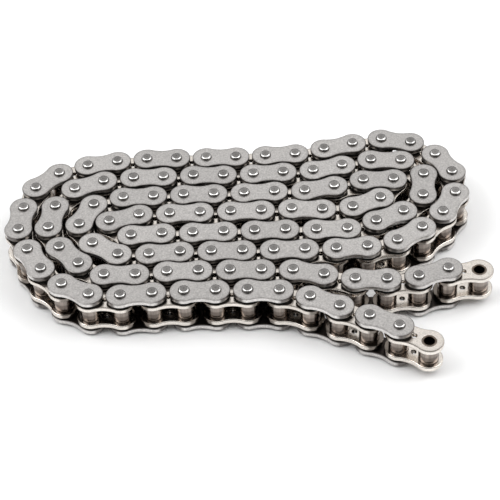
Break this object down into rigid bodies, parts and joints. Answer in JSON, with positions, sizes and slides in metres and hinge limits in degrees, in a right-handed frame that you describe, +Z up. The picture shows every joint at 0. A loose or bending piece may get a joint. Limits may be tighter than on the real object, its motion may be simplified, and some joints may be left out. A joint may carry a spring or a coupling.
{
  "type": "roller chain",
  "caption": "Sealed roller drive chain with riveted pins, lying on its side in close flat loops. Both free ends are inner links that swing on their pins.",
  "frame": {"origin": "under the middle of the outline of the laid chain, on the surface that its pins stand on", "axes": "+Z up along the pins; +X along the long rows, towards the two free ends; +Y away from the side that the front free end lies on"},
  "size_m": [0.2482, 0.1572, 0.0251],
  "materials": {
    "outer_plate": "satin, warm grey, rounded rim",
    "inner_plate": "bright nickel plate, slightly cream",
    "pin": "riveted end, slightly darker than the plates",
    "bush": "ground steel",
    "roller": "polished, dark brown grey",
    "seal": "matt black"
  },
  "bodies": {
    "loops": {"loop_inner_plates_top": "inner_plate", "loop_inner_plates_bottom": "inner_plate", "loop_outer_plates_top": "outer_plate", "loop_outer_plates_bottom": "outer_plate", "loop_pins": "pin", "loop_bushes": "bush", "loop_rollers": "roller", "loop_seals": "seal"},
    "back_tail_1": {"back_tail_1_top_plate": "inner_plate", "back_tail_1_bottom_plate": "inner_plate", "back_tail_1_bushes": "bush"},
    "back_tail_1_roller_a": {"back_tail_1_roller_a": "roller"},
    "back_tail_1_roller_b": {"back_tail_1_roller_b": "roller"},
    "back_tail_2": {"back_tail_2_top_plate": "outer_plate", "back_tail_2_bottom_plate": "outer_plate", "back_tail_2_pins": "pin", "back_tail_2_seals": "seal"},
    "back_tail_3": {"back_tail_3_top_plate": "inner_plate", "back_tail_3_bottom_plate": "inner_plate", "back_tail_3_bushes": "bush"},
    "back_tail_3_roller_a": {"back_tail_3_roller_a": "roller"},
    "back_tail_3_roller_b": {"back_tail_3_roller_b": "roller"},
    "back_tail_4": {"back_tail_4_top_plate": "outer_plate", "back_tail_4_bottom_plate": "outer_plate", "back_tail_4_pins": "pin", "back_tail_4_seals": "seal"},
    "back_tail_5": {"back_tail_5_top_plate": "inner_plate", "back_tail_5_bottom_plate": "inner_plate", "back_tail_5_bushes": "bush"},
    "back_tail_5_roller_a": {"back_tail_5_roller_a": "roller"},
    "back_tail_5_roller_b": {"back_tail_5_roller_b": "roller"},
    "front_tail_6": {"front_tail_6_top_plate": "outer_plate", "front_tail_6_bottom_plate": "outer_plate", "front_tail_6_pins": "pin", "front_tail_6_seals": "seal"},
    "front_tail_5": {"front_tail_5_top_plate": "inner_plate", "front_tail_5_bottom_plate": "inner_plate", "front_tail_5_bushes": "bush"},
    "front_tail_5_roller_a": {"front_tail_5_roller_a": "roller"},
    "front_tail_5_roller_b": {"front_tail_5_roller_b": "roller"},
    "front_tail_4": {"front_tail_4_top_plate": "outer_plate", "front_tail_4_bottom_plate": "outer_plate", "front_tail_4_pins": "pin", "front_tail_4_seals": "seal"},
    "front_tail_3": {"front_tail_3_top_plate": "inner_plate", "front_tail_3_bottom_plate": "inner_plate", "front_tail_3_bushes": "bush"},
    "front_tail_3_roller_a": {"front_tail_3_roller_a": "roller"},
    "front_tail_3_roller_b": {"front_tail_3_roller_b": "roller"},
    "front_tail_2": {"front_tail_2_top_plate": "outer_plate", "front_tail_2_bottom_plate": "outer_plate", "front_tail_2_pins": "pin", "front_tail_2_seals": "seal"},
    "front_tail_1": {"front_tail_1_top_plate": "inner_plate", "front_tail_1_bottom_plate": "inner_plate", "front_tail_1_bushes": "bush"},
    "front_tail_1_roller_a": {"front_tail_1_roller_a": "roller"},
    "front_tail_1_roller_b": {"front_tail_1_roller_b": "roller"}
  },
  "joints": [
    {"name": "back_tail_5_swing", "type": "hinge", "parent": "loops", "child": "back_tail_5", "pos_m": [0.03872, -0.0269, 0.01256], "axis": [0, 0, 1], "range_deg": [-16, 14]},
    {"name": "back_tail_4_swing", "type": "hinge", "parent": "back_tail_5", "child": "back_tail_4", "pos_m": [0.05406, -0.031, 0.01256], "axis": [0, 0, -1], "range_deg": [-18, 35]},
    {"name": "back_tail_3_swing", "type": "hinge", "parent": "back_tail_4", "child": "back_tail_3", "pos_m": [0.06989, -0.03211, 0.01256], "axis": [0, 0, 1], "range_deg": [-54, 28]},
    {"name": "back_tail_2_swing", "type": "hinge", "parent": "back_tail_3", "child": "back_tail_2", "pos_m": [0.08575, -0.03128, 0.01256], "axis": [0, 0, -1], "range_deg": [-40, 75]},
    {"name": "back_tail_1_swing", "type": "hinge", "parent": "back_tail_2", "child": "back_tail_1", "pos_m": [0.10101, -0.02691, 0.01256], "axis": [0, 0, 1], "range_deg": [-105, 115]},
    {"name": "front_tail_6_swing", "type": "hinge", "parent": "loops", "child": "front_tail_6", "pos_m": [0.0001, -0.03498, 0.01256], "axis": [0, 0, 1], "range_deg": [-85, 0]},
    {"name": "front_tail_5_swing", "type": "hinge", "parent": "front_tail_6", "child": "front_tail_5", "pos_m": [0.01591, -0.03636, 0.01256], "axis": [0, 0, -1], "range_deg": [-4, 85]},
    {"name": "front_tail_4_swing", "type": "hinge", "parent": "front_tail_5", "child": "front_tail_4", "pos_m": [0.03092, -0.04153, 0.01256], "axis": [0, 0, 1], "range_deg": [-80, 15]},
    {"name": "front_tail_3_swing", "type": "hinge", "parent": "front_tail_4", "child": "front_tail_3", "pos_m": [0.04506, -0.04874, 0.01256], "axis": [0, 0, -1], "range_deg": [-30, 95]},
    {"name": "front_tail_2_swing", "type": "hinge", "parent": "front_tail_3", "child": "front_tail_2", "pos_m": [0.05921, -0.05595, 0.01256], "axis": [0, 0, 1], "range_deg": [-115, 44]},
    {"name": "front_tail_1_swing", "type": "hinge", "parent": "front_tail_2", "child": "front_tail_1", "pos_m": [0.07309, -0.06364, 0.01256], "axis": [0, 0, -1], "range_deg": [-100, 115]},
    {"name": "back_tail_1_roller_a_spin", "type": "hinge", "parent": "back_tail_1", "child": "back_tail_1_roller_a", "pos_m": [0.11682, -0.02552, 0.01256], "axis": [0, 0, 1], "continuous": true},
    {"name": "back_tail_1_roller_b_spin", "type": "hinge", "parent": "back_tail_1", "child": "back_tail_1_roller_b", "pos_m": [0.10101, -0.02691, 0.01256], "axis": [0, 0, 1], "continuous": true},
    {"name": "back_tail_3_roller_a_spin", "type": "hinge", "parent": "back_tail_3", "child": "back_tail_3_roller_a", "pos_m": [0.08575, -0.03128, 0.01256], "axis": [0, 0, 1], "continuous": true},
    {"name": "back_tail_3_roller_b_spin", "type": "hinge", "parent": "back_tail_3", "child": "back_tail_3_roller_b", "pos_m": [0.06989, -0.03211, 0.01256], "axis": [0, 0, 1], "continuous": true},
    {"name": "back_tail_5_roller_a_spin", "type": "hinge", "parent": "back_tail_5", "child": "back_tail_5_roller_a", "pos_m": [0.05406, -0.031, 0.01256], "axis": [0, 0, 1], "continuous": true},
    {"name": "back_tail_5_roller_b_spin", "type": "hinge", "parent": "back_tail_5", "child": "back_tail_5_roller_b", "pos_m": [0.03872, -0.0269, 0.01256], "axis": [0, 0, 1], "continuous": true},
    {"name": "front_tail_5_roller_a_spin", "type": "hinge", "parent": "front_tail_5", "child": "front_tail_5_roller_a", "pos_m": [0.01591, -0.03636, 0.01256], "axis": [0, 0, 1], "continuous": true},
    {"name": "front_tail_5_roller_b_spin", "type": "hinge", "parent": "front_tail_5", "child": "front_tail_5_roller_b", "pos_m": [0.03092, -0.04153, 0.01256], "axis": [0, 0, 1], "continuous": true},
    {"name": "front_tail_3_roller_a_spin", "type": "hinge", "parent": "front_tail_3", "child": "front_tail_3_roller_a", "pos_m": [0.04506, -0.04874, 0.01256], "axis": [0, 0, 1], "continuous": true},
    {"name": "front_tail_3_roller_b_spin", "type": "hinge", "parent": "front_tail_3", "child": "front_tail_3_roller_b", "pos_m": [0.05921, -0.05595, 0.01256], "axis": [0, 0, 1], "continuous": true},
    {"name": "front_tail_1_roller_a_spin", "type": "hinge", "parent": "front_tail_1", "child": "front_tail_1_roller_a", "pos_m": [0.07309, -0.06364, 0.01256], "axis": [0, 0, 1], "continuous": true},
    {"name": "front_tail_1_roller_b_spin", "type": "hinge", "parent": "front_tail_1", "child": "front_tail_1_roller_b", "pos_m": [0.08698, -0.07134, 0.01256], "axis": [0, 0, 1], "continuous": true}
  ]
}
